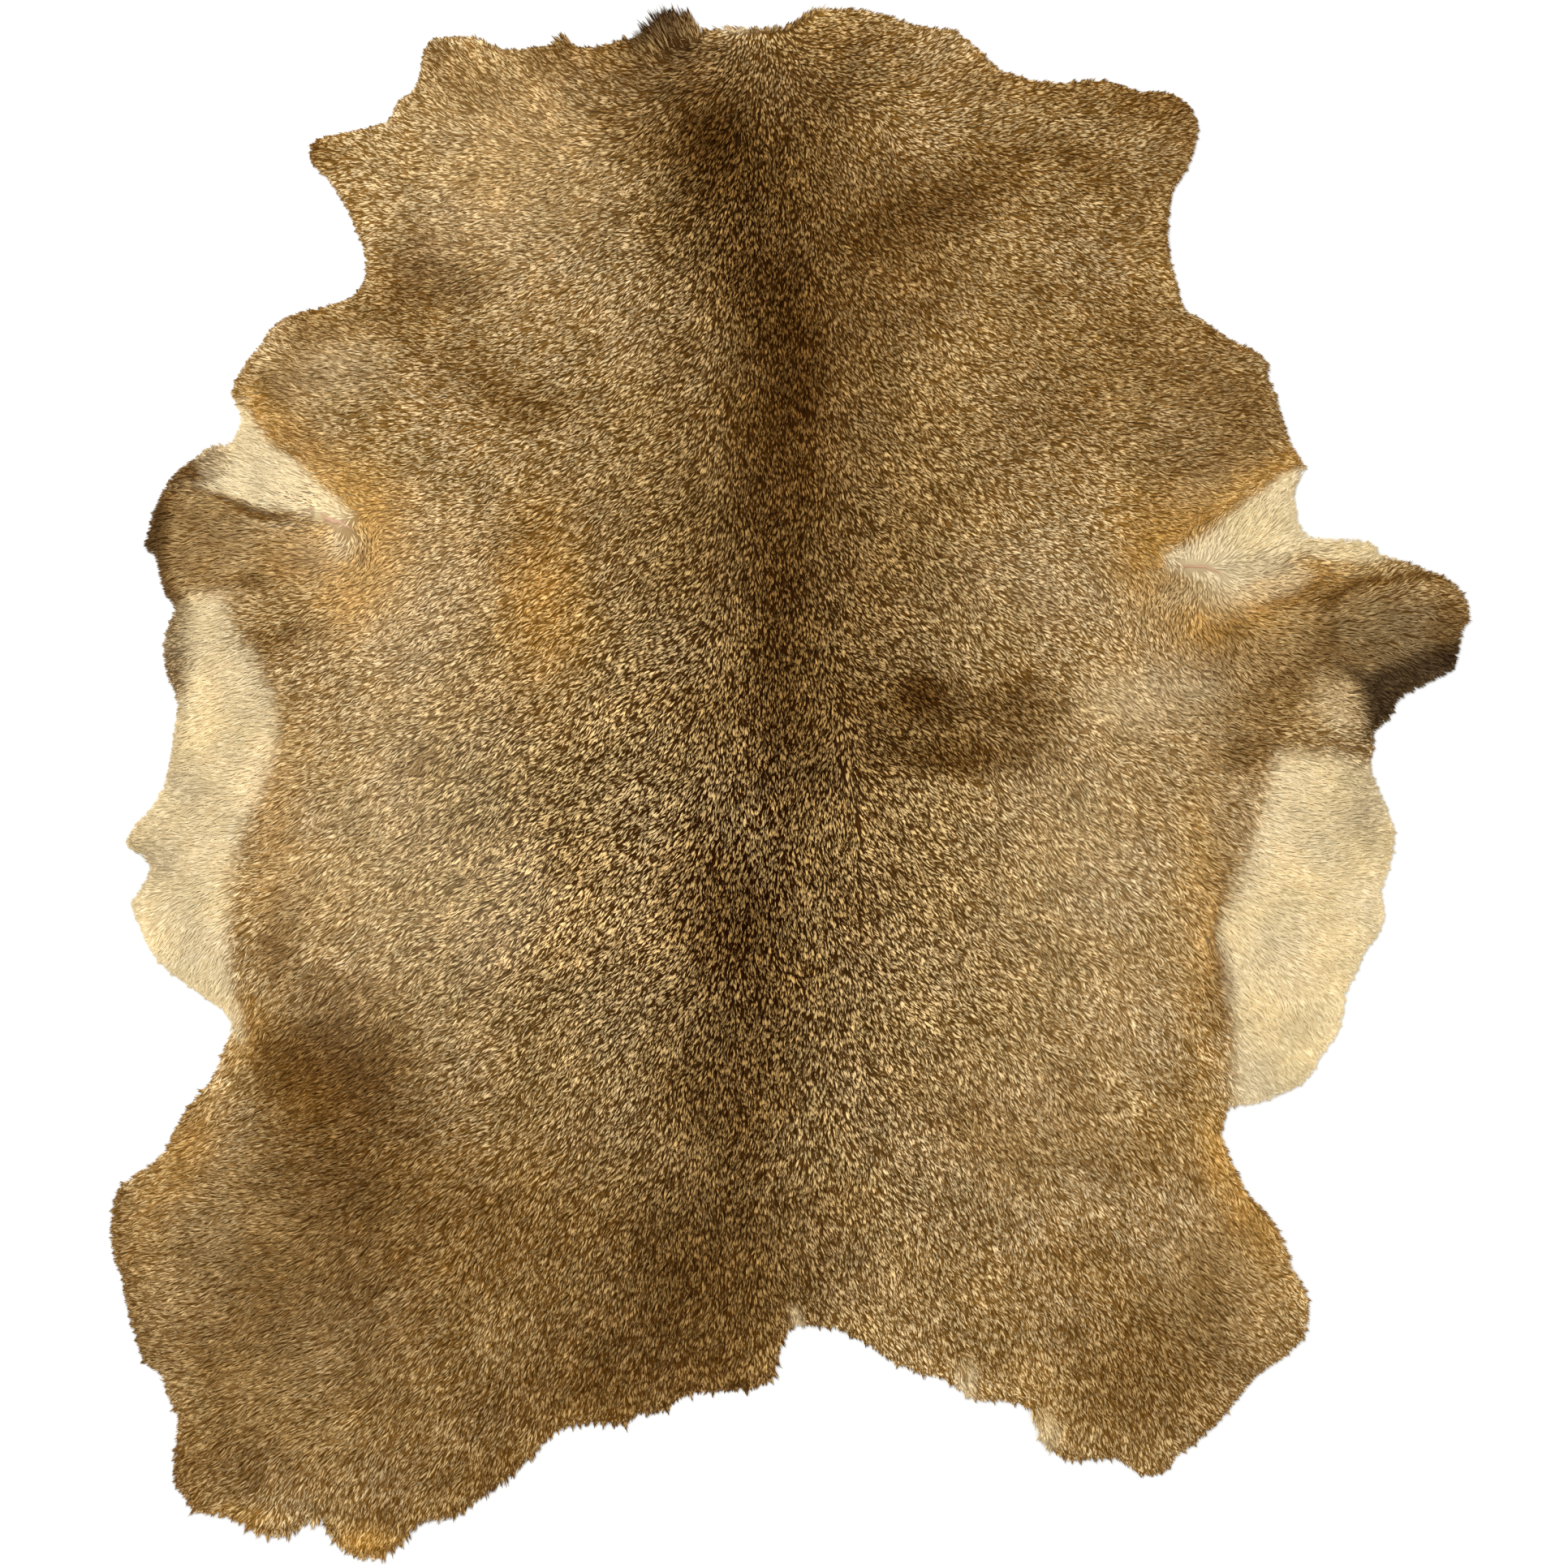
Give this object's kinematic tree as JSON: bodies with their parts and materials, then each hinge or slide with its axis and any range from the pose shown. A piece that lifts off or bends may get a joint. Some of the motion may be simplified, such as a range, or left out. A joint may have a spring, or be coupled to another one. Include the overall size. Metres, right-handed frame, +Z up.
{
  "type": "deerhide rug",
  "caption": "One-piece hair-on deer hide rug, lying flat with the coat up: irregular hide outline, ragged hair rim, dark back stripe and pale belly flaps.",
  "frame": {"origin": "middle of the footprint, on the surface that the hide rests on", "axes": "+Z up out of the coat, +Y from the rump to the neck, +X to the right as seen from above with the neck away from the viewer"},
  "size_m": [1.0904, 1.2444, 0.016],
  "materials": {
    "coat": "short lying deer hair, grey-brown ticked with straw, dark along the back, cream at the belly flaps",
    "skin": "undyed suede flesh side of the tanned skin, matt"
  },
  "bodies": {
    "root": {"hide": "coat"}
  },
  "joints": []
}
